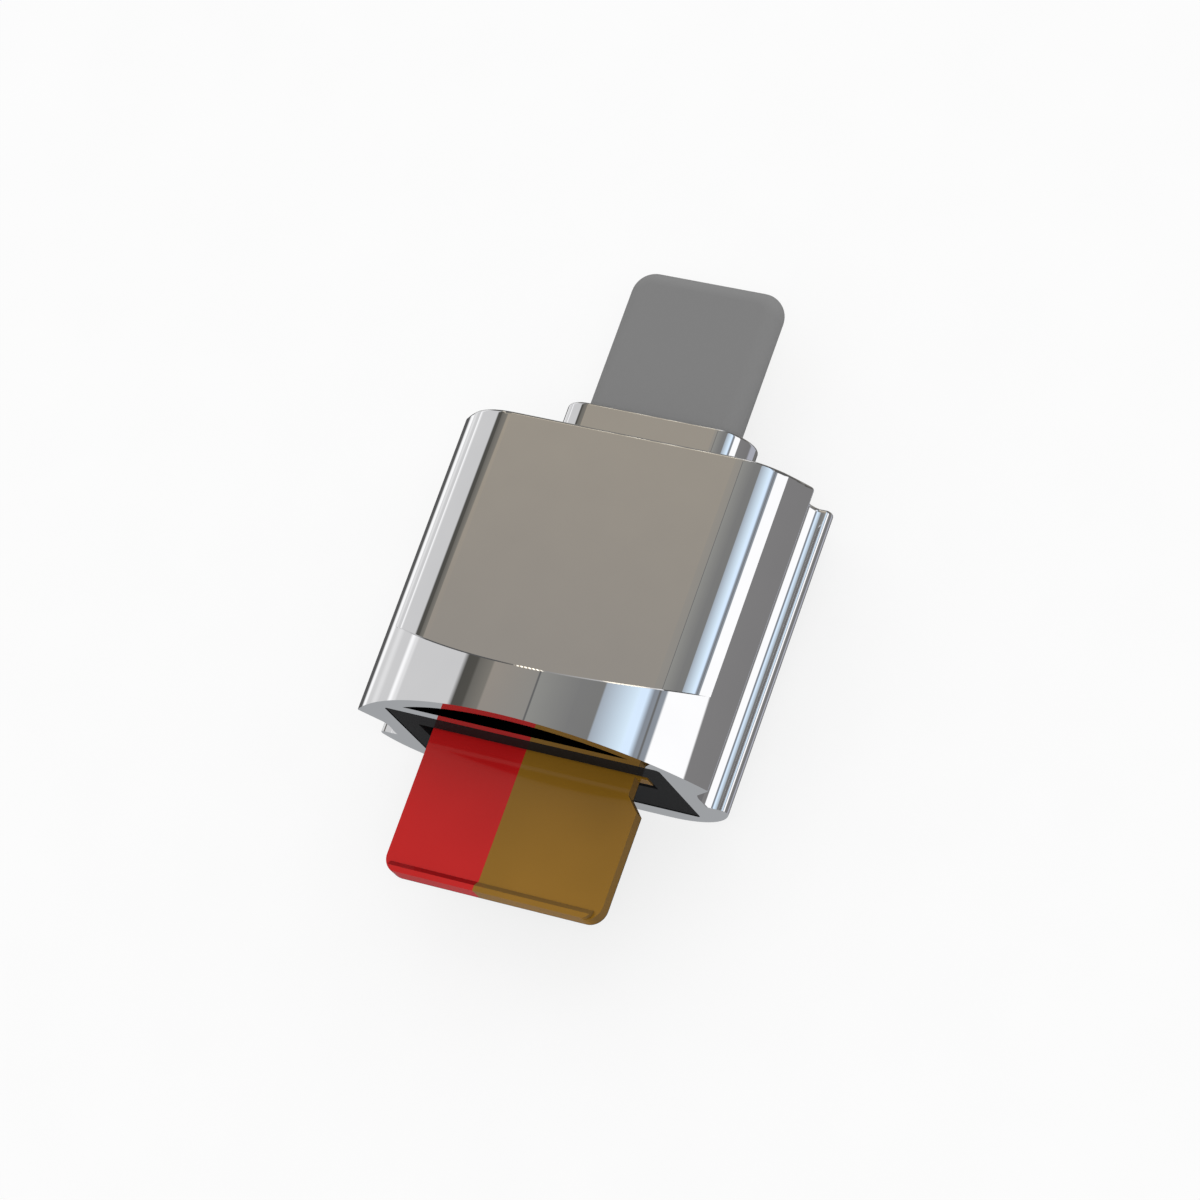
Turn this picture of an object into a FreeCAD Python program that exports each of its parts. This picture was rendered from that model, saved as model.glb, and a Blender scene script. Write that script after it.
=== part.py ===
import FreeCAD, Part
import math
import os

# Pocket reader for a small memory card: a plated cast housing with a strap loop, a flat 8-contact
# plug at one end and a card mouth at the other. All lengths are in millimetres.
# The pieces are drawn with X across, Y from the card mouth (0) towards the plug and Z up from the
# flat back (0), so the reader lies on its back with its flat front uppermost. They are written
# with the origin moved along Y to the middle of the housing's flat back.

V = FreeCAD.Vector

# Housing, outer form
body_length = 14.9
body_depth = 7.75
side_wall = 0.94
front_arc_radius = 11.1
flank_width = 3.22
flank_blend_radius = 3.175
ridge_fillet = 0.1
groove_depth = 1.03
groove_front_depth = 0.93
groove_rear_depth = 0.7
groove_front_drop = 1.066
groove_corner = 0.25
rail_height = 3.07
rail_inset = 0.07
rail_lip = 0.2
back_corner_radius = 4.2
back_corner_trim = 0.32
end_rim_fillet = 0.18

# Strap loop, standing in front of the flat
loop_low = 2.41
loop_top_radius = 21.0
loop_wall = 0.75
loop_edge_break = 0.08

# Collar round the plug
collar_length = 1.9
collar_root = 0.5
collar_side_wall = 0.88
collar_flat_wall = 0.76
collar_edge_fillet = 0.15

# Cavity
cavity_back_wall = 1.1
cavity_front_wall = 0.706
cavity_corner = 0.2
roof = 1.4

# Plug
plug_half_width = 3.88
plug_thickness = 1.5
plug_reach = 7.4
plug_corner = 1.14
plug_lift = 0.53
plug_fit = 0.04
plug_skin = 0.3
plug_flange_length = 1.0
plug_flange_side_step = 1.02
plug_flange_flat_step = 0.75
plug_flange_corner = 0.4
plug_root = 0.3
plug_side_wall = 0.73
block_tip_wall = 0.95
block_window_length = 4.1
block_window_corner = 0.4
block_fit = 0.02
plug_contact_count = 8
plug_contact_margin = 0.49
plug_contact_width = 0.46
plug_contact_thickness = 0.15
plug_pad_length = 2.6
plug_pad_sink = 0.05
plug_pad_margin = 0.5
plug_run_drop = 0.25
plug_run_slope = 0.6
plug_tail_length = 0.9
plug_tail_bend = 0.1

# Memory card
card_width = 11.0
card_length = 15.0
card_thickness = 0.7
card_shift = 0.2
card_seat_depth = 8.15
card_corner = 0.8
card_nose_corner = 0.5
card_lip_length = 0.5
card_lip_height = 0.3
card_lip_inset = 0.33
card_lip_slope = 0.24
card_lip_root = 0.2
card_notch_ramp = 5.32
card_notch_start = 6.02
card_notch_end = 6.9
card_notch_depth = 0.67
card_shoulder_start = 7.5
card_shoulder_end = 8.6
card_shoulder_depth = 1.3
card_pad_count = 8
card_pad_pitch = 1.1
card_pad_width = 0.8
card_pad_length = 2.9
card_pad_setback = 1.1
card_pad_thickness = 0.04

# Tray that carries the board and closes the mouth
tray_fit = 0.05
tray_recess = 0.03
tray_front = 1.6
tray_wall = 0.7
tray_floor = 0.4
mouth_fit = 0.15
mouth_front_gap = 0.466
mouth_rear_gap = 0.334
barb_length = 1.2
barb_height = 0.3
barb_width = 1.2
barb_z = 5.5
barb_setback = 1.6
barb_fit = 0.06
barb_root = 0.2
tray_end_gap = 0.1

# Circuit board
board_thickness = 0.8
board_top_z = 3.55
board_groove_depth = 0.25
board_groove_fit = 0.03
board_front_gap = 0.1
board_corner = 0.4
board_end_gap = 0.2

# Card socket
socket_setback = 0.3
socket_side_wall = 0.2
socket_card_fit = 0.08
socket_rear_wall = 1.2
socket_floor = 0.72
socket_floor_gap = 0.03
socket_window_length = 2.9
socket_window_setback = 0.5
socket_key_gap = 0.3
socket_key_root = 0.1
stop_fit = 0.06
spring_width = 0.5
spring_thickness = 0.12
spring_tail = 0.4
spring_crest_setback = 2.5
spring_tip = 0.7
spring_slot_fit = 0.03
spring_slot_lap = 0.2
spring_card_gap = 0.02
spring_dip = 0.25
cage_sheet = 0.18
cage_card_fit = 0.12
cage_wall_fit = 0.02
cage_tray_gap = 0.05
cage_rear_inset = 0.3
cage_leaf_start = 1.2
cage_leaf_width = 1.3
cage_leaf_length = 3.2
cage_leaf_slit = 0.22
cage_leaf_half_pitch = 3.0

# Parts soldered on the back of the board
chip_size = 4.0
chip_height = 0.75
chip_edge = 0.06
chip_x = -2.6
chip_y = 6.6
regulator_width = 2.9
regulator_length = 1.6
regulator_height = 0.95
regulator_lift = 0.08
regulator_x = 2.6
regulator_y = 9.3
regulator_lead_pitch = 0.95
regulator_lead_width = 0.4
regulator_lead_thickness = 0.15
regulator_lead_root = 0.05
regulator_lead_knee = 0.2
regulator_lead_ankle = 0.3
regulator_lead_reach = 0.55
crystal_width = 2.5
crystal_length = 2.0
crystal_height = 0.55
crystal_x = 2.4
crystal_y = 5.6
crystal_lid_inset = 0.15
crystal_lid_height = 0.15
crystal_lid_root = 0.05
passive_length = 1.0
passive_width = 0.5
passive_height = 0.5
passive_cap = 0.22
passive_neck = 0.03
passive_row_y = 3.1
passive_pitch = 1.5
passive_count = 7

# Heights and lengths worked out from the sizes above
board_z = board_top_z - board_thickness
card_z = board_top_z + socket_floor + socket_floor_gap
card_top_z = card_z + card_thickness
card_end = card_seat_depth
card_reach = card_length - card_seat_depth
plug_z = board_top_z + plug_lift
plug_tip = body_length + collar_length + plug_reach
cavity_top_z = body_depth - cavity_front_wall
cavity_end = body_length - roof
plug_flange_rear = cavity_end - plug_flange_length
tray_end = plug_flange_rear - tray_end_gap
board_front = tray_front + board_front_gap
board_end = plug_flange_rear - board_end_gap
socket_front = board_front + socket_setback
socket_rear = card_end + stop_fit + socket_rear_wall
socket_window_rear = card_end - socket_window_setback
socket_window_front = socket_window_rear - socket_window_length

# Widths, from the card outwards to the housing's side
socket_half_width = card_width / 2 + socket_card_fit + socket_side_wall
cage_half_width = socket_half_width + cage_wall_fit + cage_sheet
cavity_half_width = card_shift + cage_half_width + cage_tray_gap + tray_wall + tray_fit
board_half_width = cavity_half_width - tray_fit - tray_wall + board_groove_depth
mouth_half_width = card_shift + card_width / 2 + mouth_fit
side_half_width = cavity_half_width + side_wall + groove_depth
rail_half_width = side_half_width - rail_inset
back_flat_half_width = rail_half_width + back_corner_trim - back_corner_radius
flat_half_width = side_half_width - flank_width
block_half_width = plug_half_width - plug_side_wall
plug_contact_pitch = 2 * (block_half_width - plug_contact_margin) / (plug_contact_count - 1)
plug_flange_half_width = plug_half_width + plug_flange_side_step
plug_flange_thickness = plug_thickness + 2 * plug_flange_flat_step
collar_half_width = plug_half_width + plug_fit + collar_side_wall
collar_thickness = plug_thickness + 2 * (plug_fit + collar_flat_wall)

# The front arc touches both blends beside the flat; the ridge stands where it reaches the side
blend_centre_z = body_depth - flank_blend_radius
blend_swing = front_arc_radius - flank_blend_radius
front_arc_z = blend_centre_z - math.sqrt(blend_swing ** 2 - flat_half_width ** 2)
ridge_z = front_arc_z + math.sqrt(front_arc_radius ** 2 - side_half_width ** 2)
groove_front_z = ridge_z - groove_front_drop

# Allowances of the construction: how far a cutting tool runs past a surface, a length beyond all of
# the object, how far a full round stops short of closing, and the tolerance for finding edges
over = 1.0
far = 40.0
full_round_gap = 0.01
near = 0.01


def block(x0, x1, y0, y1, z0, z1):
    """A straight box between two corners."""
    return Part.makeBox(x1 - x0, y1 - y0, z1 - z0, V(x0, y0, z0))


def line(a, b):
    return Part.LineSegment(a, b).toShape()


def arc(a, b, c):
    return Part.Arc(a, b, c).toShape()


def circle_point(cx, cz, radius, angle):
    """A point of a circle in the XZ plane, with the angle in degrees from +X towards +Z."""
    turn = math.radians(angle)
    return V(cx + radius * math.cos(turn), 0, cz + radius * math.sin(turn))


def prism(edges, along):
    """The solid swept by a closed outline."""
    wire = Part.Wire(Part.__sortEdges__(edges))
    return Part.Face(wire).extrude(along)


def mirrored(edges):
    """The same edges on the other side of the middle plane."""
    return [edge.mirror(V(0, 0, 0), V(1, 0, 0)) for edge in edges]


def rounded_slab(half_width, thickness, centre_z, y0, y1, radius):
    """A bar along Y with a rounded rectangular section."""
    z0 = centre_z - thickness / 2
    bar = block(-half_width, half_width, y0, y1, z0, z0 + thickness)
    edges = [e for e in bar.Edges if abs(e.tangentAt(e.FirstParameter).y) > 0.9]
    return bar.makeFillet(radius, edges)


def strip(points, thickness, width, centre_x):
    """A bent metal strip: a path in the YZ plane given by its lower side, with a constant thickness."""
    upper = []
    last = len(points) - 1
    for i, (y, z) in enumerate(points):
        before = points[max(i - 1, 0)]
        after = points[min(i + 1, last)]
        first = math.atan2(z - before[1], y - before[0]) if i > 0 else None
        second = math.atan2(after[1] - z, after[0] - y) if i < last else first
        first = second if first is None else first
        middle = (first + second) / 2
        reach = thickness / math.cos((second - first) / 2)
        upper.append((y - reach * math.sin(middle), z + reach * math.cos(middle)))
    loop = [V(centre_x - width / 2, y, z) for y, z in points + upper[::-1]]
    return Part.Face(Part.makePolygon(loop + [loop[0]])).extrude(V(width, 0, 0))


def side_edges():
    """The right side of the housing, from the ridge at the end of the front arc to the flat back."""
    ridge = V(side_half_width, 0, ridge_z)
    groove_front = V(side_half_width - groove_front_depth, 0, groove_front_z)
    groove_floor = V(side_half_width - groove_depth, 0, (groove_front_z + rail_height) / 2)
    groove_rear = V(side_half_width - groove_rear_depth, 0, rail_height)
    corner_centre = V(back_flat_half_width, 0, back_corner_radius)
    rail_angle = -math.degrees(math.acos((rail_half_width - back_flat_half_width) / back_corner_radius))
    rail = circle_point(corner_centre.x, corner_centre.z, back_corner_radius, rail_angle)
    lip = V(rail_half_width - rail_lip, 0, rail_height)
    outward = (rail - corner_centre).normalize()
    lip_radius = (lip - rail).Length ** 2 / (2 * (rail - lip).dot(outward))
    lip_centre = rail - outward * lip_radius
    lip_angle = math.degrees(math.atan2(lip.z - lip_centre.z, lip.x - lip_centre.x))
    lip_middle = circle_point(lip_centre.x, lip_centre.z, lip_radius, (lip_angle + rail_angle) / 2)
    corner = circle_point(corner_centre.x, corner_centre.z, back_corner_radius, (rail_angle - 90) / 2)
    return [
        line(ridge, groove_front),
        arc(groove_front, groove_floor, groove_rear),
        line(groove_rear, lip),
        arc(lip, lip_middle, rail),
        arc(rail, corner, V(back_flat_half_width, 0, 0)),
    ]


def housing_bar(with_flat):
    """The housing's section run along its length, with the flat front or with the full front arc."""
    meet_angle = math.degrees(math.atan2(blend_centre_z - front_arc_z, flat_half_width))
    meet = circle_point(0, front_arc_z, front_arc_radius, meet_angle)
    ridge_angle = math.degrees(math.atan2(ridge_z - front_arc_z, side_half_width))
    flank_middle = circle_point(0, front_arc_z, front_arc_radius, (meet_angle + ridge_angle) / 2)
    half = side_edges() + [arc(meet, flank_middle, V(side_half_width, 0, ridge_z))]
    if with_flat:
        flat_end = V(flat_half_width, 0, body_depth)
        blend_angle = (90 + meet_angle) / 2
        blend_middle = circle_point(flat_half_width, blend_centre_z, flank_blend_radius, blend_angle)
        half.append(arc(flat_end, blend_middle, meet))
        front = [line(V(-flat_half_width, 0, body_depth), flat_end)]
    else:
        apex = V(0, 0, front_arc_z + front_arc_radius)
        front = [arc(V(-meet.x, 0, meet.z), apex, meet)]
    back = [line(V(-back_flat_half_width, 0, 0), V(back_flat_half_width, 0, 0))]
    return prism(half + mirrored(half) + front + back, V(0, body_length, 0))


def cavity_bar(clearance, y0, y1):
    """The room inside the housing, or what fits in it with a clearance all round."""
    half_width = cavity_half_width - clearance
    z0 = cavity_back_wall + clearance
    z1 = cavity_top_z - clearance
    return rounded_slab(half_width, z1 - z0, (z0 + z1) / 2, y0, y1, cavity_corner)


def barb(clearance, side):
    """A snap wedge on the tray's side, or its pocket in the housing wall."""
    root = side * (cavity_half_width - tray_fit - barb_root)
    peak = side * (cavity_half_width + barb_height + clearance)
    shallow = side * (cavity_half_width - tray_fit)
    y1 = tray_end - barb_setback + clearance
    y0 = y1 - barb_length - 2 * clearance
    z0 = barb_z - barb_width / 2 - clearance
    outline = [V(root, y0, z0), V(peak, y0, z0), V(shallow, y1, z0), V(root, y1, z0)]
    outline.append(outline[0])
    return Part.Face(Part.makePolygon(outline)).extrude(V(0, 0, barb_width + 2 * clearance))


def plug_plate(y0, clearance):
    """The flat tongue with round edges, from y0 to the tip, or its passage through the collar."""
    half_width = plug_half_width + clearance
    thickness = plug_thickness + 2 * clearance
    z0 = plug_z - thickness / 2
    plate = block(-half_width, half_width, y0, plug_tip, z0, z0 + thickness)
    corners = [e for e in plate.Edges if e.BoundBox.YMin > plug_tip - near and e.BoundBox.XLength < near]
    plate = plate.makeFillet(plug_corner, corners)
    rim = [e for e in plate.Edges if e.BoundBox.ZLength < near and e.BoundBox.YMax > y0 + near]
    return plate.makeFillet(thickness / 2 - full_round_gap, rim)


def lies_on_step(edge, loop_centre):
    """Whether an edge runs along the loop's curved top."""
    return all(abs(math.hypot(v.X, v.Y - loop_centre) - loop_top_radius) < near for v in edge.Vertexes)


def on_front_arc(edge):
    """Whether an edge runs along the front arc."""
    return all(abs(math.hypot(v.X, v.Z - front_arc_z) - front_arc_radius) < near for v in edge.Vertexes)


def long_edges_at(shape, x, z):
    """The two straight edges that run along the housing at x and -x, at the height z."""
    found = []
    for edge in shape.Edges:
        box = edge.BoundBox
        if box.YLength > near and box.XLength < near and box.ZLength < near:
            if abs(abs(box.XMin) - x) < near and abs(box.ZMin - z) < near:
                found.append(edge)
    return found


def make_housing():
    """Die-cast and plated shell in one piece: body, side grooves, strap loop and collar."""
    loop_centre = loop_low + loop_top_radius
    step = Part.makeCylinder(loop_top_radius, far, V(0, loop_centre, -over), V(0, 0, 1))
    below_step = block(-far / 2, far / 2, -over, loop_centre, -over, far / 2).cut(step)
    inner = Part.makeCylinder(front_arc_radius - loop_wall, far, V(0, -over, front_arc_z), V(0, 1, 0))
    gap = inner.common(block(-far / 2, far / 2, -over, body_length, body_depth, far / 2))
    loop = housing_bar(False).common(below_step).cut(gap)
    rim = [e for e in loop.Edges if lies_on_step(e, loop_centre) and on_front_arc(e)]
    loop = loop.makeChamfer(loop_edge_break, rim)
    shell = housing_bar(True).fuse(loop).removeSplitter()
    shell = shell.makeFillet(ridge_fillet, long_edges_at(shell, side_half_width, ridge_z))
    groove_ends = long_edges_at(shell, side_half_width - groove_front_depth, groove_front_z)
    groove_ends += long_edges_at(shell, side_half_width - groove_rear_depth, rail_height)
    shell = shell.makeFillet(groove_corner, groove_ends)
    end_rim = [e for e in shell.Edges if e.BoundBox.YMin > body_length - near]
    shell = shell.makeFillet(end_rim_fillet, end_rim)
    collar_end = body_length + collar_length
    collar = rounded_slab(collar_half_width, collar_thickness, plug_z, body_length - collar_root,
                          collar_end, collar_thickness / 2 - full_round_gap)
    collar_rim = [e for e in collar.Edges if e.BoundBox.YMin > collar_end - near]
    collar = collar.makeFillet(collar_edge_fillet, collar_rim)
    shell = shell.fuse(collar)
    shell = shell.cut(cavity_bar(0, -over, cavity_end))
    shell = shell.cut(rounded_slab(plug_half_width + plug_fit, plug_thickness + 2 * plug_fit, plug_z,
                                   cavity_end - over, collar_end + over,
                                   plug_thickness / 2 + plug_fit - full_round_gap))
    for side in (-1, 1):
        shell = shell.cut(barb(barb_fit, side))
    return shell.removeSplitter()


def make_tray():
    """Moulded tray: the dark face with the card mouth, two grooved walls and an insulating floor."""
    tray = cavity_bar(tray_fit, tray_recess, tray_end)
    inner_half = cavity_half_width - tray_fit - tray_wall
    floor_z = cavity_back_wall + tray_fit + tray_floor
    tray = tray.cut(block(-inner_half, inner_half, tray_front, far, floor_z, far))
    groove_half = board_half_width + board_groove_fit
    tray = tray.cut(block(-groove_half, groove_half, board_front - board_groove_fit, far,
                          board_z - board_groove_fit, board_top_z + board_groove_fit))
    tray = tray.cut(block(-mouth_half_width, mouth_half_width, -over, tray_front + over,
                          card_z - mouth_rear_gap, card_top_z + mouth_front_gap))
    for side in (-1, 1):
        tray = tray.fuse(barb(0, side))
    return tray.removeSplitter()


def make_board():
    """Glass-epoxy board held in the tray's grooves."""
    board = block(-board_half_width, board_half_width, board_front, board_end, board_z, board_top_z)
    corners = [e for e in board.Edges if e.BoundBox.ZLength > board_thickness / 2]
    return board.makeFillet(board_corner, corners)


def make_card():
    """Moulded memory card, label side up, half out of the mouth."""
    half = card_width / 2

    def at(x, v):
        return V(card_shift + x, v - card_reach, card_z)

    outline = [
        at(-half, 0),
        at(half, 0),
        at(half, card_notch_ramp),
        at(half - card_notch_depth, card_notch_start),
        at(half - card_notch_depth, card_notch_end),
        at(half, card_notch_end),
        at(half, card_shoulder_start),
        at(half - card_shoulder_depth, card_shoulder_end),
        at(half - card_shoulder_depth, card_length),
        at(-half, card_length),
    ]
    card = Part.Face(Part.makePolygon(outline + [outline[0]])).extrude(V(0, 0, card_thickness))
    upright = [e for e in card.Edges if e.BoundBox.ZLength > card_thickness / 2]
    grip = [e for e in upright if e.BoundBox.YMax < near - card_reach]
    card = card.makeFillet(card_corner, grip)
    upright = [e for e in card.Edges if e.BoundBox.ZLength > card_thickness / 2]
    nose = [e for e in upright if e.BoundBox.YMin > card_end - near]
    card = card.makeFillet(card_nose_corner, nose)
    lip_half = half - card_lip_inset
    lip_y = card_lip_length - card_reach
    lip = block(card_shift - lip_half, card_shift + lip_half, -card_reach, lip_y,
                card_top_z - card_lip_root, card_top_z + card_lip_height)
    slope = [e for e in lip.Edges if e.BoundBox.ZMin > card_top_z and e.BoundBox.YMin > lip_y - near]
    lip = lip.makeChamfer(card_lip_slope, slope)
    ends = [e for e in lip.Edges
            if e.BoundBox.ZLength > card_lip_height and e.BoundBox.YMax < near - card_reach]
    lip = lip.makeFillet(card_corner - card_lip_inset, ends)
    card = card.fuse(lip).removeSplitter()
    for pad in card_pads():
        card = card.cut(pad)
    return card


def card_pads():
    """Plated contacts, flush in the card's back."""
    pads = []
    y1 = card_end - card_pad_setback
    for i in range(card_pad_count):
        x = card_contact_x(i)
        pads.append(block(x - card_pad_width / 2, x + card_pad_width / 2, y1 - card_pad_length, y1,
                          card_z, card_z + card_pad_thickness))
    return pads


def card_contact_x(index):
    """Centre of one contact across the card, which are centred on its narrow end."""
    return card_shift - card_shoulder_depth / 2 + (index - (card_pad_count - 1) / 2) * card_pad_pitch


def socket_spring(index):
    """One stamped spring: tail on the board, root under the rear wall, arm up to its card contact."""
    x = card_contact_x(index)
    crest_y = card_end - spring_crest_setback
    crest_z = card_z - spring_card_gap - spring_thickness
    points = [
        (crest_y - spring_tip, crest_z - spring_dip),
        (crest_y, crest_z),
        (socket_window_rear, board_top_z),
        (socket_rear + spring_tail, board_top_z),
    ]
    return strip(points, spring_thickness, spring_width, x)


def make_socket_base():
    """Insulating frame of the card socket, with the stop for the card's end."""
    half = socket_half_width
    rear = socket_rear
    top = board_top_z + socket_floor
    base = block(card_shift - half, card_shift + half, socket_front, rear, board_top_z, top)
    side = half - socket_side_wall
    stop = block(card_shift - half, card_shift + half, card_end + stop_fit, rear, board_top_z, card_top_z)
    base = base.fuse(stop)
    for sign in (-1, 1):
        inner = card_shift + sign * side
        outer = card_shift + sign * half
        rail = block(min(inner, outer), max(inner, outer), socket_front, rear, board_top_z, card_top_z)
        base = base.fuse(rail)
    shoulder = block(card_shift + card_width / 2 - card_shoulder_depth + socket_card_fit, card_shift + side,
                     card_shoulder_end - card_reach + socket_key_gap, rear, top - socket_key_root,
                     card_top_z)
    base = base.fuse(shoulder).removeSplitter()
    window_half = (card_pad_count - 1) / 2 * card_pad_pitch + spring_width
    middle = card_shift - card_shoulder_depth / 2
    base = base.cut(block(middle - window_half, middle + window_half, socket_window_front,
                          socket_window_rear, board_top_z - over, top + near))
    slot_half = spring_width / 2 + spring_slot_fit
    for i in range(card_pad_count):
        x = card_contact_x(i)
        base = base.cut(block(x - slot_half, x + slot_half, socket_window_rear - spring_slot_lap,
                              rear + over, board_top_z - over,
                              board_top_z + spring_thickness + spring_slot_fit))
    return base.removeSplitter()


def make_cage():
    """Folded steel cover of the socket, with two leaves stamped in its top."""
    half = cage_half_width - cage_sheet
    rear = socket_rear - cage_rear_inset
    z1 = card_top_z + cage_card_fit + cage_sheet
    outer = block(card_shift - cage_half_width, card_shift + cage_half_width, socket_front, rear,
                  board_top_z, z1)
    long_edges = [e for e in outer.Edges
                  if e.BoundBox.YLength > near and e.BoundBox.ZMin > z1 - near]
    outer = outer.makeFillet(cage_sheet, long_edges)
    cage = outer.cut(block(card_shift - half, card_shift + half, socket_front - over, rear + over,
                           board_top_z - over, z1 - cage_sheet))
    for sign in (-1, 1):
        x = card_shift + sign * cage_leaf_half_pitch
        y0 = socket_front + cage_leaf_start
        y1 = y0 + cage_leaf_length
        leaf_half = cage_leaf_width / 2
        slit_half = leaf_half + cage_leaf_slit
        slit = block(x - slit_half, x + slit_half, y0, y1, z1 - 2 * cage_sheet, z1 + over)
        leaf = block(x - leaf_half, x + leaf_half, y0 + cage_leaf_slit, y1 + over, -far, far)
        cage = cage.cut(slit.cut(leaf))
    return cage.removeSplitter()


def plug_contact(index):
    """One plug contact: pad in the window, run through the block, tail on the board."""
    x = (index - (plug_contact_count - 1) / 2) * plug_contact_pitch
    face_z = plug_z - plug_thickness / 2 + plug_pad_sink
    pad_end = plug_tip - block_tip_wall - plug_pad_margin
    pad_start = pad_end - plug_pad_length
    run_z = plug_z - plug_run_drop
    tail_y = board_end - plug_tail_length
    points = [
        (tail_y, board_top_z),
        (board_end - plug_tail_bend, board_top_z),
        (board_end + plug_tail_bend, run_z),
        (pad_start - plug_run_slope, run_z),
        (pad_start, face_z),
        (pad_end, face_z),
    ]
    return strip(points, plug_contact_thickness, plug_contact_width, x)


def make_plug_frame():
    """Metal tongue and flange in one, hollow for the contact block, with a window in its back face."""
    tongue = plug_plate(cavity_end - plug_root, 0)
    flange = rounded_slab(plug_flange_half_width, plug_flange_thickness, plug_z, plug_flange_rear,
                          cavity_end, plug_flange_corner)
    frame = flange.fuse(tongue)
    channel_end = plug_tip - block_tip_wall
    half_height = plug_thickness / 2 - plug_skin
    frame = frame.cut(block(-block_half_width, block_half_width, plug_flange_rear - over, channel_end,
                            plug_z - half_height, plug_z + half_height))
    window = block(-block_half_width, block_half_width, channel_end - block_window_length, channel_end,
                   plug_z - plug_thickness, plug_z)
    corners = [e for e in window.Edges if e.BoundBox.ZLength > plug_thickness / 2
               and e.BoundBox.YMin < channel_end - near]
    return frame.cut(window.makeFillet(block_window_corner, corners)).removeSplitter()


def make_plug_block(contacts):
    """Plastic block moulded round the contacts, filling the frame and its window."""
    half_width = block_half_width - block_fit
    half_height = plug_thickness / 2 - plug_skin - block_fit
    channel_end = plug_tip - block_tip_wall
    body = block(-half_width, half_width, plug_flange_rear, channel_end - block_fit,
                 plug_z - half_height, plug_z + half_height)
    boss_start = channel_end - block_window_length + block_fit
    boss = block(-half_width, half_width, boss_start, channel_end - block_fit,
                 plug_z - plug_thickness / 2 + plug_pad_sink, plug_z)
    corners = [e for e in boss.Edges if e.BoundBox.ZLength > plug_thickness / 4
               and e.BoundBox.YMin < channel_end - block_fit - near]
    body = body.fuse(boss.makeFillet(block_window_corner, corners)).removeSplitter()
    for contact in contacts:
        body = body.cut(contact)
    return body


def make_chip():
    """Square controller package with its ground pad towards the board."""
    z1 = board_z
    half = chip_size / 2
    body = block(chip_x - half, chip_x + half, chip_y - half, chip_y + half, z1 - chip_height, z1)
    lower = [e for e in body.Edges if e.BoundBox.ZMax < z1 - chip_height + near]
    return body.makeChamfer(chip_edge, lower)


def make_regulator():
    """Small five-lead regulator."""
    z1 = board_z - regulator_lift
    half_width = regulator_width / 2
    half_length = regulator_length / 2
    body = block(regulator_x - half_width, regulator_x + half_width, regulator_y - half_length,
                 regulator_y + half_length, z1 - regulator_height, z1)
    middle = z1 - regulator_height / 2
    sole = board_z - regulator_lead_thickness
    for column, sides in ((-1, (-1, 1)), (0, (-1,)), (1, (-1, 1))):
        for side in sides:
            y = regulator_y + side * half_length
            points = [
                (y - side * regulator_lead_root, middle),
                (y + side * regulator_lead_knee, middle),
                (y + side * regulator_lead_ankle, sole),
                (y + side * regulator_lead_reach, sole),
            ]
            if side < 0:
                points = points[::-1]
            x = regulator_x + column * regulator_lead_pitch
            body = body.fuse(strip(points, regulator_lead_thickness, regulator_lead_width, x))
    return body.removeSplitter()


def make_crystal():
    """Ceramic crystal package with a metal lid."""
    half_width = crystal_width / 2
    half_length = crystal_length / 2
    z1 = board_z
    body = block(crystal_x - half_width, crystal_x + half_width, crystal_y - half_length,
                 crystal_y + half_length, z1 - crystal_height + crystal_lid_height, z1)
    inset = crystal_lid_inset
    lid = block(crystal_x - half_width + inset, crystal_x + half_width - inset,
                crystal_y - half_length + inset, crystal_y + half_length - inset,
                z1 - crystal_height, z1 - crystal_height + crystal_lid_height + crystal_lid_root)
    return body.fuse(lid).removeSplitter()


def make_passive(index):
    """A chip capacitor or resistor with raised end caps."""
    x = (index - (passive_count - 1) / 2) * passive_pitch
    half_width = passive_width / 2
    half_length = passive_length / 2
    z1 = board_z
    neck = half_width - passive_neck
    body = block(x - neck, x + neck, passive_row_y - half_length, passive_row_y + half_length,
                 z1 - passive_height + passive_neck, z1 - passive_neck)
    for side in (-1, 1):
        y = passive_row_y + side * half_length
        y0 = min(y, y - side * passive_cap)
        body = body.fuse(block(x - half_width, x + half_width, y0, y0 + passive_cap,
                               z1 - passive_height, z1))
    return body.removeSplitter()


def main():
    os.makedirs("parts", exist_ok=True)
    nodes = {
        "housing": make_housing(),
        "board_tray": make_tray(),
        "circuit_board": make_board(),
        "memory_card": make_card(),
        "card_contacts": Part.makeCompound(card_pads()),
        "socket_base": make_socket_base(),
        "socket_cage": make_cage(),
        "plug_frame": make_plug_frame(),
        "controller_chip": make_chip(),
        "regulator": make_regulator(),
        "crystal": make_crystal(),
    }
    plug_contacts = [plug_contact(i) for i in range(plug_contact_count)]
    nodes["plug_block"] = make_plug_block(plug_contacts)
    for i, contact in enumerate(plug_contacts):
        nodes["plug_contact_%d" % (i + 1)] = contact
    for i in range(card_pad_count):
        nodes["socket_spring_%d" % (i + 1)] = socket_spring(i)
    for i in range(passive_count):
        nodes["capacitor_%d" % (i + 1)] = make_passive(i)
    for name, shape in nodes.items():
        shape.translate(V(0, -body_length / 2, 0))
        shape.exportStep("parts/%s.step" % name)
        print(name, shape.isValid(), len(shape.Solids), round(shape.Volume, 3))
    return nodes


main()
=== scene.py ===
import math

import bpy
from mathutils import Matrix, Vector


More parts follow.
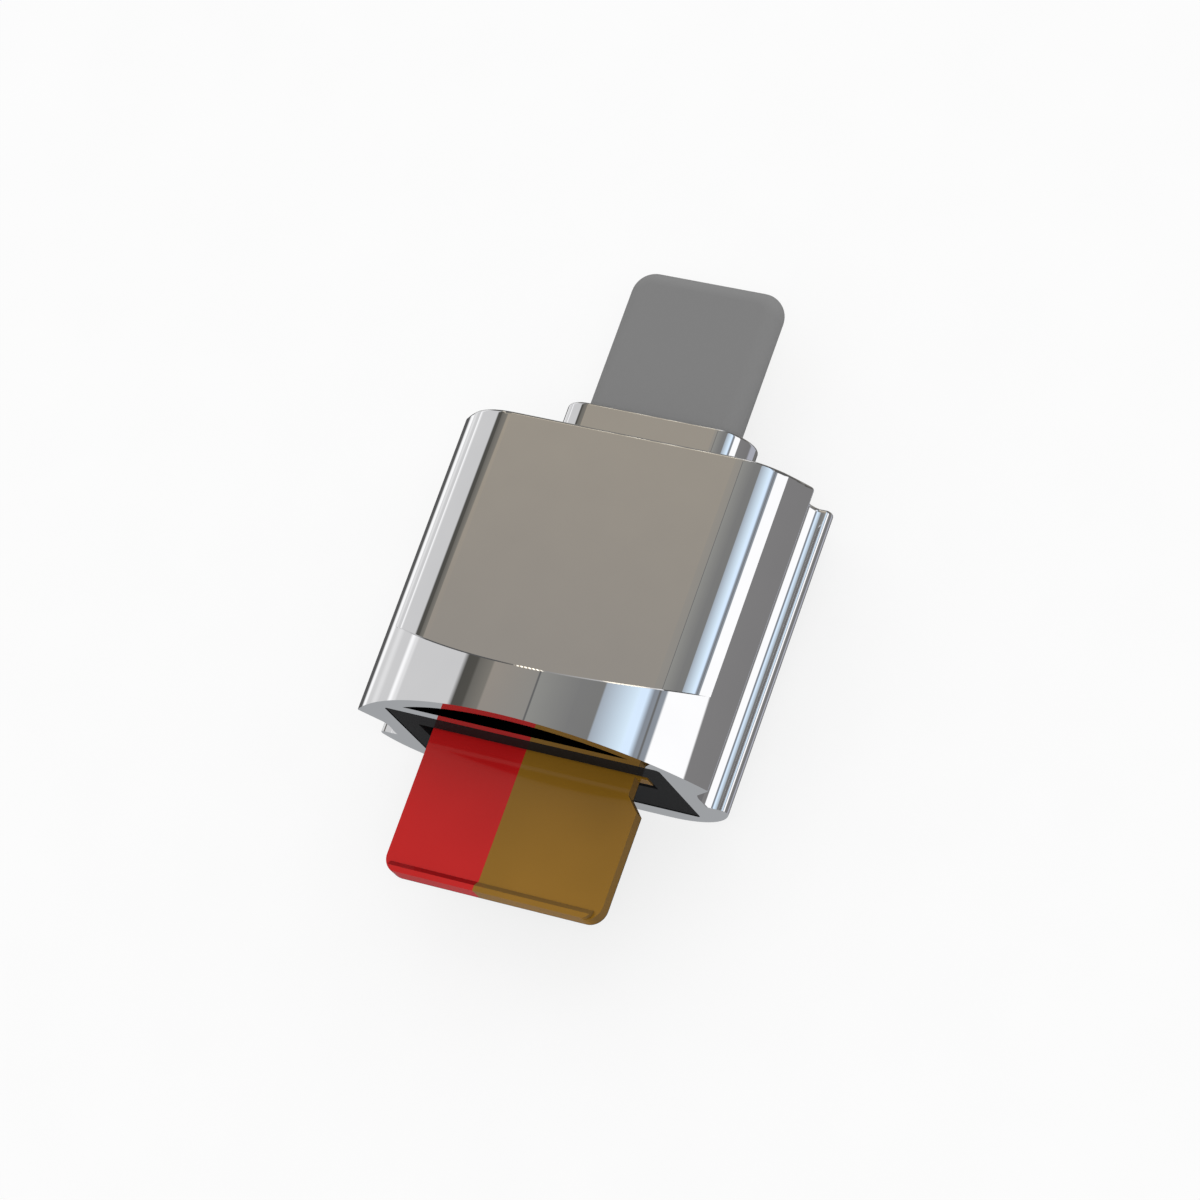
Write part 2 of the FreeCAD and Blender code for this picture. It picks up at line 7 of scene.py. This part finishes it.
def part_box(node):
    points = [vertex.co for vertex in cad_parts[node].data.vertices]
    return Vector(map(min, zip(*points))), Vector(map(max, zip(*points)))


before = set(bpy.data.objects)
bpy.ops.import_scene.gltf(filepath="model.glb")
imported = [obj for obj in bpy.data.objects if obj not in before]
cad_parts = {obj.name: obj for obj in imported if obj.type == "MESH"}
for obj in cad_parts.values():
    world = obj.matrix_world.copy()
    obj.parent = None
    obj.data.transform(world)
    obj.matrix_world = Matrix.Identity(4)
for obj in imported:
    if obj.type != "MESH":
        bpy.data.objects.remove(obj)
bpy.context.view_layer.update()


# Circuit board: a 0.8 mm glass-epoxy panel under green solder mask. It is routed out of a larger panel
# and carries every soldered part; the weave of the glass and the copper runs show faintly through it.
weave_pitch_across = 0.42
weave_pitch_along = 0.5
copper_pitch = 0.76
copper_crest = 0.8
copper_show = 0.5


def shader_node(tree, kind, sockets=None, **settings):
    """One node of a finish, its sockets given as numbers, colours or other nodes' outputs."""
    made = tree.nodes.new(kind)
    for setting, value in settings.items():
        setattr(made, setting, value)
    for socket, value in (sockets or {}).items():
        if isinstance(value, bpy.types.NodeSocket):
            tree.links.new(value, made.inputs[socket])
        else:
            made.inputs[socket].default_value = value
    return made


def reckon(tree, operation, *values):
    """The result of one step of arithmetic."""
    return shader_node(tree, "ShaderNodeMath", dict(enumerate(values)), operation=operation).outputs[0]


def shown(red, green, blue):
    """The linear colour that shows on screen as these values of 0 to 255."""
    return tuple(
        v / 12.92 if v <= 0.04045 else ((v + 0.055) / 1.055) ** 2.4
        for v in (red / 255, green / 255, blue / 255)
    ) + (1.0,)


def new_finish(name, **uniform):
    """A finish, its node tree and its shader, with the values that are the same all over it."""
    finish = bpy.data.materials.new(name)
    finish.use_nodes = True
    tree = finish.node_tree
    shader = tree.nodes["Principled BSDF"]
    for socket, value in uniform.items():
        shader.inputs[socket.replace("_", " ")].default_value = value
    return finish, tree, shader


def millimetres(tree):
    """A place on the reader in millimetres, in the frame that all its pieces share."""
    place = shader_node(tree, "ShaderNodeTexCoord").outputs["Object"]
    scaled = shader_node(
        tree, "ShaderNodeVectorMath", {0: place, "Scale": 1000.0}, operation="SCALE"
    )
    return scaled.outputs[0]


def across_along_up(tree):
    """The three millimetre coordinates on their own."""
    parts = shader_node(tree, "ShaderNodeSeparateXYZ", {0: millimetres(tree)})
    return parts.outputs[0], parts.outputs[1], parts.outputs[2]


def grain(tree, per_millimetre, stretch=(1, 1, 1), detail=2.0):
    """Fine noise, mostly from 0.3 to 0.7, drawn out along an axis where stretch is small."""
    place = shader_node(tree, "ShaderNodeMapping", {"Vector": millimetres(tree), "Scale": stretch})
    noise = shader_node(
        tree,
        "ShaderNodeTexNoise",
        {"Vector": place.outputs[0], "Scale": per_millimetre, "Detail": detail},
    )
    return noise.outputs["Fac"]


def spread(tree, amount, low, high, start=0.3, end=0.7):
    """Takes an amount's range from start to end to the range from low to high."""
    sockets = {"Value": amount, "From Min": start, "From Max": end, "To Min": low, "To Max": high}
    return shader_node(tree, "ShaderNodeMapRange", sockets).outputs[0]


def between(tree, amount, first, second):
    """The first colour where the amount is 0 and the second where it is 1."""
    mixed = shader_node(
        tree, "ShaderNodeMix", {0: amount, 6: first, 7: second}, data_type="RGBA"
    )
    return mixed.outputs[2]


def relief(tree, shader, height, depth_mm):
    """Small relief whose height from 0 to 1 is so many millimetres deep."""
    bump = shader_node(
        tree, "ShaderNodeBump", {"Height": height, "Distance": depth_mm / 1000, "Strength": 1.0}
    )
    tree.links.new(bump.outputs[0], shader.inputs["Normal"])


def feed(tree, shader, **varying):
    """Gives the shader what varies over the piece."""
    for socket, value in varying.items():
        tree.links.new(value, shader.inputs[socket.replace("_", " ")])


def dress(finish, *pieces):
    """Puts a finish on solids of the frame."""
    for piece in pieces:
        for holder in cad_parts[piece].material_slots:
            holder.material = finish


def ripple(tree, amount, pitch):
    """A wave from 0 to 1 along one coordinate."""
    turn = reckon(tree, "MULTIPLY", amount, 2 * math.pi / pitch)
    return reckon(tree, "MULTIPLY_ADD", reckon(tree, "SINE", turn), 0.5, 0.5)


solder_mask, tree, shader = new_finish("solder_mask", Metallic=0.0, Coat_Weight=0.4)
across, along, _ = across_along_up(tree)
weave = reckon(
    tree,
    "MULTIPLY",
    ripple(tree, across, weave_pitch_across),
    ripple(tree, along, weave_pitch_along),
)
copper_run = reckon(tree, "GREATER_THAN", ripple(tree, across, copper_pitch), copper_crest)
mask_green = between(tree, weave, shown(18, 74, 48), shown(26, 92, 58))
mask_green = between(
    tree, reckon(tree, "MULTIPLY", copper_run, copper_show), mask_green, shown(58, 128, 74)
)
feed(
    tree,
    shader,
    Base_Color=mask_green,
    Roughness=spread(tree, grain(tree, 3.0), 0.28, 0.4),
)
relief(tree, shader, weave, 0.004)
dress(solder_mask, "circuit_board")


# Controller: a square moulded package of black filled epoxy, reflow-soldered by pads under its edges.
# The moulding is ground by the filler to an even fine grit.
moulded_epoxy, tree, shader = new_finish("moulded_epoxy", Metallic=0.0)
grit = grain(tree, 22.0, detail=4.0)
feed(
    tree,
    shader,
    Base_Color=between(tree, grit, shown(28, 28, 29), shown(52, 52, 54)),
    Roughness=spread(tree, grit, 0.45, 0.65),
)
relief(tree, shader, grit, 0.004)
dress(moulded_epoxy, "controller_chip")


# Regulator: a small five-lead package of the same epoxy, with bent tinned leads soldered to the board.
# Body and leads are one node, told apart by their distance from the middle of the package.
regulator_body_half = 0.81


def corners(piece):
    """The lowest and highest corner of a piece, in millimetres."""
    lowest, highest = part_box(piece)
    return lowest * 1000, highest * 1000


def away_from(tree, amount, middle):
    """How far an amount lies from a middle value, to either side."""
    return reckon(tree, "ABSOLUTE", reckon(tree, "SUBTRACT", amount, middle))


lowest, highest = corners("regulator")
regulator_middle = (lowest.y + highest.y) / 2

regulator_finish, tree, shader = new_finish("regulator_finish")
_, along, _ = across_along_up(tree)
on_lead = reckon(
    tree, "GREATER_THAN", away_from(tree, along, regulator_middle), regulator_body_half
)
grit = grain(tree, 22.0, detail=4.0)
body_black = between(tree, grit, shown(26, 26, 27), shown(50, 50, 52))
tin = between(tree, grain(tree, 6.0), shown(176, 174, 168), shown(206, 204, 198))
feed(
    tree,
    shader,
    Base_Color=between(tree, on_lead, body_black, tin),
    Metallic=on_lead,
    Roughness=spread(tree, on_lead, 0.6, 0.28, 0.0, 1.0),
)
relief(tree, shader, grit, 0.003)
dress(regulator_finish, "regulator")


# Crystal: a ceramic tub with a plated metal lid seam-welded on top, which is the side away from the
# board. The lid is brushed by its rolling and the ceramic round it is a dull warm grey.
crystal_lid_height = 0.14
lowest, _ = corners("crystal")
crystal_lid_root = lowest.z + crystal_lid_height

crystal_finish, tree, shader = new_finish("crystal_finish")
_, _, up = across_along_up(tree)
on_lid = reckon(tree, "LESS_THAN", up, crystal_lid_root)
rolled = grain(tree, 30.0, stretch=(1.0, 0.06, 1.0), detail=3.0)
lid_metal = between(tree, rolled, shown(188, 180, 160), shown(222, 214, 196))
tub_ceramic = between(tree, grain(tree, 9.0), shown(104, 98, 92), shown(126, 120, 112))
feed(
    tree,
    shader,
    Base_Color=between(tree, on_lid, tub_ceramic, lid_metal),
    Metallic=on_lid,
    Roughness=spread(tree, rolled, 0.26, 0.42),
)
relief(tree, shader, rolled, 0.001)
dress(crystal_finish, "crystal")


# Capacitors: sintered ceramic bricks whose ends are dipped in silver and tinned for soldering.
# They stand in one row on the back of the board, ends fore and aft.
capacitor_bare_half = 0.28
capacitor_count = 7
lowest, highest = corners("capacitor_1")
capacitor_row_middle = (lowest.y + highest.y) / 2

capacitor_finish, tree, shader = new_finish("capacitor_finish")
_, along, _ = across_along_up(tree)
on_cap = reckon(
    tree, "GREATER_THAN", away_from(tree, along, capacitor_row_middle), capacitor_bare_half
)
speckle = grain(tree, 14.0, detail=3.0)
fired_brown = between(tree, speckle, shown(150, 118, 86), shown(182, 150, 116))
tin = between(tree, speckle, shown(178, 176, 170), shown(208, 206, 200))
feed(
    tree,
    shader,
    Base_Color=between(tree, on_cap, fired_brown, tin),
    Metallic=on_cap,
    Roughness=spread(tree, speckle, 0.3, 0.5),
)
relief(tree, shader, speckle, 0.003)
for number in range(1, capacitor_count + 1):
    dress(capacitor_finish, "capacitor_%d" % number)


# Card socket: a heat-proof moulded floor and walls in natural cream plastic, with eight sprung
# contacts pressed into it. Pale streaks follow the way the plastic flowed in the mould.
socket_plastic, tree, shader = new_finish("socket_plastic", Metallic=0.0)
flow = grain(tree, 2.4, stretch=(1.0, 0.25, 1.0), detail=4.0)
feed(
    tree,
    shader,
    Base_Color=between(tree, flow, shown(182, 176, 158), shown(212, 206, 188)),
    Roughness=spread(tree, flow, 0.42, 0.58),
)
relief(tree, shader, grain(tree, 12.0), 0.004)
dress(socket_plastic, "socket_base")


# Socket cover: tinned steel sheet, blanked, with its two leaves cut free, and folded over the card's
# path. Rolling leaves fine lines along it and the tin a soft mottle.
tinned_sheet, tree, shader = new_finish("tinned_sheet", Metallic=1.0)
rolled = grain(tree, 26.0, stretch=(1.0, 0.05, 1.0), detail=3.0)
mottle = grain(tree, 1.6)
feed(
    tree,
    shader,
    Base_Color=between(tree, mottle, shown(192, 192, 188), shown(216, 216, 212)),
    Roughness=spread(tree, rolled, 0.24, 0.4),
)
relief(tree, shader, rolled, 0.001)
dress(tinned_sheet, "socket_cage")


# Socket springs and plug contacts: phosphor bronze strip, stamped and bent, with a thin bright gold
# plating. Each is drawn along its length, so its fine lines run fore and aft.
contact_count = 8

gold_plating, tree, shader = new_finish("gold_plating", Metallic=1.0)
drawn = grain(tree, 40.0, stretch=(1.0, 0.05, 1.0), detail=3.0)
feed(
    tree,
    shader,
    Base_Color=between(tree, drawn, shown(214, 172, 92), shown(238, 202, 124)),
    Roughness=spread(tree, drawn, 0.18, 0.32),
)
relief(tree, shader, drawn, 0.0008)
for number in range(1, contact_count + 1):
    dress(gold_plating, "socket_spring_%d" % number, "plug_contact_%d" % number)


# Plug block: black glass-filled plastic moulded round the eight contacts, so that only their pads lie
# bare in the window of the tongue's back face.
contact_block, tree, shader = new_finish("contact_block", Metallic=0.0)
fibres = grain(tree, 16.0, stretch=(1.0, 0.3, 1.0), detail=3.0)
feed(
    tree,
    shader,
    Base_Color=between(tree, fibres, shown(26, 26, 27), shown(44, 44, 46)),
    Roughness=spread(tree, fibres, 0.4, 0.55),
)
relief(tree, shader, fibres, 0.003)
dress(contact_block, "plug_block")


# Plug tongue: one injected metal shell with its flange, hollow for the block. Its face is bead-blasted
# to a dead even mid grey that mirrors nothing of the studio.
blasted_metal, tree, shader = new_finish("blasted_metal", Metallic=0.0, Specular_IOR_Level=0.12)
blasted = grain(tree, 28.0, detail=4.0)
feed(
    tree,
    shader,
    Base_Color=between(tree, blasted, shown(124, 124, 124), shown(130, 130, 130)),
    Roughness=spread(tree, blasted, 0.62, 0.74),
)
relief(tree, shader, blasted, 0.0015)
dress(blasted_metal, "plug_frame")


# Board tray: black plastic, moulded with the card's mouth in its front and two barbs that snap into
# the housing. Its face is nearly black, with the slight waviness of a moulded wall.
moulded_black, tree, shader = new_finish("moulded_black", Metallic=0.0, Specular_IOR_Level=0.004)
mottle = grain(tree, 18.0, detail=3.0)
feed(
    tree,
    shader,
    Base_Color=between(tree, mottle, shown(32, 32, 33), shown(38, 38, 39)),
    Roughness=spread(tree, mottle, 0.06, 0.12),
)
relief(tree, shader, grain(tree, 1.2), 0.0004)
dress(moulded_black, "board_tray")


# Housing: a zinc casting, polished and plated as bright as a mirror, with the strap loop, the side
# grooves and the plug's collar in one. Inside the loop it is painted black and dull, as painted shade.
flat_front_z = 7.75
front_arc_z = -0.9
loop_inner_radius = 10.35
loop_rear_radius = 21.0
loop_rear_centre_y = 15.96
arc_margin = 0.01
flat_margin = 0.02
loop_shade_dullness = 0.7
groove_wall_x = 7.93
groove_lip_x = 8.66
groove_floor_z = 3.05
groove_dish_top_z = 3.75
groove_end_y = 7.25
lean_at_wall = math.radians(51)
lean_at_lip = math.radians(10)


def both(tree, first, second):
    """1 where two things are so, and 0 elsewhere."""
    return reckon(tree, "MULTIPLY", first, second)


def within(tree, amount, low, high):
    """1 where an amount lies between two values, and 0 elsewhere."""
    return both(
        tree, reckon(tree, "GREATER_THAN", amount, low), reckon(tree, "LESS_THAN", amount, high)
    )


mirror_plating, tree, shader = new_finish("mirror_plating", Metallic=1.0)
across, along, up = across_along_up(tree)

# Painted shade inside the loop, drawn black: under its inner arc, above the flat front, and short of the
# loop's curved rear edge
across_squared = reckon(tree, "MULTIPLY", across, across)
height = reckon(tree, "SUBTRACT", up, front_arc_z)
from_arc_centre = reckon(
    tree, "SQRT", reckon(tree, "ADD", across_squared, reckon(tree, "MULTIPLY", height, height))
)
to_rear_edge = reckon(
    tree, "SQRT", reckon(tree, "SUBTRACT", loop_rear_radius**2, across_squared)
)
rear_edge_y = reckon(tree, "SUBTRACT", loop_rear_centre_y, to_rear_edge)
under_arc = reckon(tree, "LESS_THAN", from_arc_centre, loop_inner_radius + arc_margin)
above_flat = reckon(tree, "GREATER_THAN", up, flat_front_z - flat_margin)
before_rear_edge = reckon(tree, "LESS_THAN", along, rear_edge_y)
loop_painted_shade = both(tree, under_arc, both(tree, above_flat, before_rear_edge))

# The lower side of each groove is dished: it turns evenly from the groove's wall to the rail's lip
beside = reckon(tree, "ABSOLUTE", across)
leaning = spread(tree, beside, lean_at_wall, lean_at_lip, groove_wall_x, groove_lip_x)
dished = shader_node(
    tree,
    "ShaderNodeCombineXYZ",
    {
        0: reckon(tree, "MULTIPLY", reckon(tree, "SINE", leaning), reckon(tree, "SIGN", across)),
        2: reckon(tree, "COSINE", leaning),
    },
)
in_groove = both(
    tree,
    within(tree, beside, groove_wall_x, groove_lip_x),
    both(
        tree,
        within(tree, up, groove_floor_z, groove_dish_top_z),
        reckon(tree, "LESS_THAN", along, groove_end_y),
    ),
)
solid_normal = shader_node(tree, "ShaderNodeNewGeometry").outputs["Normal"]
facing = shader_node(
    tree,
    "ShaderNodeMix",
    {0: in_groove, 4: solid_normal, 5: dished.outputs[0]},
    data_type="VECTOR",
)

handling = grain(tree, 0.5, detail=3.0)
hairlines = grain(tree, 24.0, stretch=(1.0, 0.02, 1.0), detail=2.0)
wear = reckon(tree, "MULTIPLY_ADD", hairlines, 0.5, reckon(tree, "MULTIPLY", handling, 0.5))
polish = spread(tree, wear, 0.008, 0.02)
plated = between(tree, handling, shown(226, 226, 228), shown(232, 232, 233))
feed(
    # Painted shade: the inside of the loop is painted black and made dull.
    tree,
    shader,
    Base_Color=between(tree, loop_painted_shade, plated, shown(0, 0, 0)),
    Roughness=reckon(tree, "MULTIPLY_ADD", loop_painted_shade, loop_shade_dullness, polish),
    Normal=facing.outputs[1],
)
dress(mirror_plating, "housing")


# Memory card: black moulded plastic, printed in two plain fields, with painted shade darkening its sides
# and the back of its lip, and lacquered on its label side alone. It is slid in by hand and pulled by its
# lip.
field_edge_x = -0.49
bare_back_height = 0.04
wall_gloss = 0.02
label_gloss = 0.5
lowest, _ = corners("memory_card")
card_back_z = lowest.z + bare_back_height

printed_card, tree, shader = new_finish("printed_card", Metallic=0.0)
across, _, up = across_along_up(tree)
on_gold = reckon(tree, "GREATER_THAN", across, field_edge_x)
cloud = spread(tree, grain(tree, 0.25, detail=1.0), 0.0, 1.0)
red_field = between(tree, cloud, shown(193, 27, 28), shown(199, 30, 31))
gold_field = between(tree, cloud, shown(140, 101, 30), shown(148, 107, 34))
printed = between(tree, on_gold, red_field, gold_field)
normal = shader_node(
    tree, "ShaderNodeSeparateXYZ", {0: shader_node(tree, "ShaderNodeNewGeometry").outputs["Normal"]}
)
# Painted shade: the print is drawn darker on walls that face sideways or back, by their direction.
faces_side = reckon(tree, "ABSOLUTE", normal.outputs[0])
faces_rear = reckon(tree, "MAXIMUM", normal.outputs[1], 0.0)
painted_wall_shade_amount = spread(tree, reckon(tree, "ADD", faces_side, faces_rear), 0.0, 1.0, 0.25, 0.7)
painted_wall_shade = between(tree, on_gold, shown(140, 20, 23), shown(118, 90, 48))
printed = between(tree, painted_wall_shade_amount, printed, painted_wall_shade)
on_back = reckon(tree, "LESS_THAN", up, card_back_z)
lacquer = grain(tree, 10.0, detail=3.0)
feed(
    tree,
    shader,
    Base_Color=between(tree, on_back, printed, shown(24, 24, 25)),
    Roughness=spread(tree, lacquer, 0.05, 0.09),
    Specular_IOR_Level=spread(tree, normal.outputs[2], wall_gloss, label_gloss, 0.5, 0.9),
)
relief(tree, shader, lacquer, 0.0001)
dress(printed_card, "memory_card")


# Card contacts: eight gold-plated pads etched on the card's own thin board, flush with its back.
# They are rubbed along their length by the socket's springs.
rubbed_gold, tree, shader = new_finish("rubbed_gold", Metallic=1.0)
rubbed = grain(tree, 18.0, stretch=(1.0, 0.08, 1.0), detail=3.0)
feed(
    tree,
    shader,
    Base_Color=between(tree, rubbed, shown(206, 166, 88), shown(234, 198, 122)),
    Roughness=spread(tree, rubbed, 0.2, 0.38),
)
relief(tree, shader, rubbed, 0.0008)
dress(rubbed_gold, "card_contacts")


# Table top: a plain pale sheet that the reader lies on, flat back down. It is lit from below too, so
# it is as pale as the photograph's background and takes only a soft, faint shadow.
table_half = 2.0
table_z = -0.00002
backlit_share = 0.8

table_mesh = bpy.data.meshes.new("table_top")
table_mesh.from_pydata(
    [(x * table_half, y * table_half, table_z) for x, y in ((-1, -1), (1, -1), (1, 1), (-1, 1))],
    [],
    [(0, 1, 2, 3)],
)
table_top = bpy.data.objects.new("table_top", table_mesh)
bpy.context.collection.objects.link(table_top)
pale_sheet, tree, shader = new_finish("pale_sheet", Metallic=0.0, Specular_IOR_Level=0.0)
pale = between(tree, grain(tree, 0.2), shown(251, 251, 251), shown(253, 253, 253))
feed(tree, shader, Base_Color=pale)
glow = shader_node(tree, "ShaderNodeEmission", {"Color": pale, "Strength": 1.0})
looked_at = shader_node(tree, "ShaderNodeLightPath").outputs["Is Camera Ray"]
glow_share = reckon(tree, "MULTIPLY", looked_at, backlit_share)
backlit = shader_node(
    tree, "ShaderNodeMixShader", {0: glow_share, 1: shader.outputs[0], 2: glow.outputs[0]}
)
tree.links.new(backlit.outputs[0], tree.nodes["Material Output"].inputs["Surface"])
table_top.data.materials.append(pale_sheet)
table_top.visible_glossy = False


# Studio: a plain pale room, brighter at the plug's end, lights every dull surface. What the plating
# mirrors is the studio's own set: long panels, lights and gaps that run fore and aft, each hung at its
# own angle round the reader, a plain wall at the card's end and warm lights at the plug's end.
plating_share = 0.8
card_end_light = 0.3
plug_end_light = 1.4

# Further than any part of a direction goes, so that a panel that ends there has no edge
no_edge = 2.0


def grey(tone):
    """A neutral colour that shows as this value of 0 to 255."""
    return shown(tone, tone, tone)


def hang(tree, behind, place, start, end, softness, first_tone, last_tone=None):
    """Hangs a panel with soft edges before what is there, in one tone or shading from one to another."""
    half = softness / 2
    begun = spread(tree, place, 0.0, 1.0, start - half, start + half)
    ended = spread(tree, place, 1.0, 0.0, end - half, end + half)
    shaded = first_tone
    if last_tone is not None:
        shaded = between(tree, spread(tree, place, 0.0, 1.0, start, end), first_tone, last_tone)
    return between(tree, reckon(tree, "MULTIPLY", begun, ended), behind, shaded)


room = bpy.data.worlds.new("studio")
room.use_nodes = True
bpy.context.scene.world = room
tree = room.node_tree
tree.nodes.clear()
heading = shader_node(
    tree,
    "ShaderNodeSeparateXYZ",
    {0: shader_node(tree, "ShaderNodeTexCoord").outputs["Generated"]},
)
sideways, lengthways, upward = heading.outputs[0], heading.outputs[1], heading.outputs[2]
turn = reckon(tree, "ARCTAN2", sideways, upward)
degrees = reckon(tree, "MULTIPLY", turn, 180 / math.pi)

# The long panels, by their degrees from straight up towards the right: start, end, softness and tones.
# The ceiling's first sheet is a little warmer and lighter towards the plug's end
first_sheet = between(
    tree, spread(tree, lengthways, 0.0, 1.0, 0.24, 0.3), shown(145, 139, 132), shown(160, 151, 137)
)
left_side = (
    (-181.0, -50.0, 1.0, grey(204), grey(201)),  # wall
    (-181.0, -126.2, 4.0, grey(84)),  # the wall's dark foot
    (-125.9, -120.8, 2.6, grey(245)),  # low strip light
    (-114.0, -107.8, 4.0, grey(220), grey(219)),  # pale sheet
    (-96.0, -90.2, 2.0, grey(226), grey(222)),  # high strip light
    (-97.0, -93.6, 2.4, grey(251)),  # its bright tube
)
ceiling = (
    (-52.8, -40.0, 2.8, shown(76, 75, 71), shown(83, 81, 76)),  # black gap beside the wall
    (-45.1, -30.0, 1.4, shown(103, 101, 96), shown(136, 132, 124)),  # dim rim of the first sheet
    (-36.6, -5.0, 1.1, first_sheet, shown(138, 137, 133)),  # first sheet
    (-12.0, 10.0, 0.4, shown(141, 141, 137), shown(121, 121, 120)),  # second sheet
    (8.0, 60.0, 0.4, shown(122, 122, 121), shown(114, 114, 110)),  # third sheet
    (-12.5, -11.6, 0.4, grey(98)),  # seam
)
right_side = (
    (19.7, 37.0, 0.8, shown(160, 169, 179), shown(220, 240, 255)),  # blue window, dusk to bright
    (35.5, 60.0, 2.0, shown(217, 236, 255)),  # its brightest pane
    (40.8, 60.0, 2.8, shown(130, 136, 144), shown(158, 165, 172)),  # frame
    (44.3, 45.3, 0.5, grey(106)),  # slot in the frame
    (48.2, 80.0, 1.0, grey(255)),  # white window
    (68.5, 181.0, 1.0, shown(125, 124, 124), shown(108, 107, 106)),  # wall
    (120.0, 150.0, 8.0, shown(168, 170, 179)),  # paler patch of the wall
)
around = grey(112)
for start, end, softness, *tones in left_side + ceiling + right_side:
    around = hang(tree, around, degrees, start, end, softness, *tones)

# The wall at the card's end, paler towards its foot, and the plain ground in front of it, which is what
# the rim round the mouth mirrors
card_wall_edge = -0.76
ground_edge = 0.05
ground_top = -0.5
plain_ground = shown(154, 156, 158)
card_wall = between(tree, spread(tree, upward, 0.0, 1.0, 0.5, -0.3), grey(92), plain_ground)
around = hang(tree, around, lengthways, -no_edge, card_wall_edge, 0.12, card_wall)
grounded = hang(tree, around, lengthways, -no_edge, ground_edge, 0.1, plain_ground)
around = hang(tree, around, upward, -no_edge, ground_top, 0.1, grounded)

# The wall at the plug's end: a foot that darkens upwards, a sheet that ends in one white light, a narrow
# warm light above it, and in front of the sheet a low row of small warm lamps with a gap in it
far_wall_edge = 0.62
far_wall_full = 0.7
sheet_top = 0.42
warm_light_top = 0.53
foot_top = -0.16
lamp_row_bottom = 0.225
lamp_row_top = 0.285
lamp_groups = ((-0.432, -0.394), (-0.3, -0.236))
lamp_pitch = 0.006
warm_white = shown(248, 237, 214)
lamp_white = (2.6, 2.45, 2.1, 1.0)
far_wall = hang(tree, grey(92), sideways, -0.45, -0.15, 0.02, shown(108, 105, 99), grey(250))
warm_light = hang(tree, around, sideways, -0.6, -0.3, 0.04, warm_white)
far_wall = hang(tree, far_wall, upward, sheet_top, no_edge, 0.06, around)
far_wall = hang(tree, far_wall, upward, sheet_top, warm_light_top, 0.04, warm_light)
foot = between(
    tree, spread(tree, upward, 0.0, 1.0, foot_top, -0.6), shown(70, 66, 60), shown(150, 148, 144)
)
far_wall = hang(tree, far_wall, upward, -no_edge, foot_top, 0.08, foot)
lamps = between(tree, ripple(tree, sideways, lamp_pitch), shown(176, 160, 132), lamp_white)
lit_row = far_wall
for start, end in lamp_groups:
    lit_row = hang(tree, lit_row, sideways, start, end, 0.01, lamps)
far_wall = hang(tree, far_wall, upward, lamp_row_bottom, lamp_row_top, 0.01, lit_row)
at_far_wall = spread(tree, lengthways, 0.0, 1.0, far_wall_edge, far_wall_full)
around = between(tree, at_far_wall, around, far_wall)

# The plating gives back only its share of the set, so the set is brighter by as much
room_light = spread(tree, lengthways, card_end_light, plug_end_light, -1.0, 1.0)
pale_room = shader_node(
    tree, "ShaderNodeBackground", {"Color": grey(255), "Strength": room_light}
)
mirrored_set = shader_node(
    tree, "ShaderNodeBackground", {"Color": around, "Strength": 1.0 / plating_share}
)
mirrored = shader_node(tree, "ShaderNodeLightPath").outputs["Is Glossy Ray"]
chosen = shader_node(
    tree,
    "ShaderNodeMixShader",
    {0: mirrored, 1: pale_room.outputs[0], 2: mirrored_set.outputs[0]},
)
shader_node(tree, "ShaderNodeOutputWorld", {"Surface": chosen.outputs[0]})
room.cycles.sampling_method = "NONE"

# One broad soft light from the camera's side, which adds its share to a level surface
key_direction = Vector((0.4251, -0.2723, 0.8632))
key_share = 0.15
key_width = math.radians(24)
key_light = bpy.data.lights.new("key_light", "SUN")
key_light.energy = key_share * math.pi / key_direction.z
key_light.angle = key_width
key = bpy.data.objects.new("key_light", key_light)
bpy.context.collection.objects.link(key)
key.rotation_mode = "QUATERNION"
key.rotation_quaternion = key_direction.to_track_quat("Z", "Y")
key.visible_glossy = False


# Camera: a long lens from above, over the reader's right side and its mouth, at the photograph's angle.
# It is held so that the plug points up and a little to the right.
camera_place = Vector((0.09889, -0.06276, 0.20499))
camera_right = Vector((0.8843, 0.3286, -0.3318))
camera_up = Vector((-0.1933, 0.9043, 0.3805))
film_width = 36.0
lens_length = 153.39

lens = bpy.data.cameras.new("photo_camera")
lens.sensor_width = film_width
lens.lens = lens_length
lens.clip_start = 0.001
camera = bpy.data.objects.new("photo_camera", lens)
bpy.context.collection.objects.link(camera)
camera_right.normalize()
camera_back = camera_right.cross(camera_up).normalized()
camera_up = camera_back.cross(camera_right)
turned = Matrix((camera_right, camera_up, camera_back)).transposed()
camera.rotation_mode = "QUATERNION"
camera.rotation_quaternion = turned.to_quaternion()
camera.location = camera_place
bpy.context.scene.camera = camera
bpy.context.scene.view_settings.view_transform = "Standard"
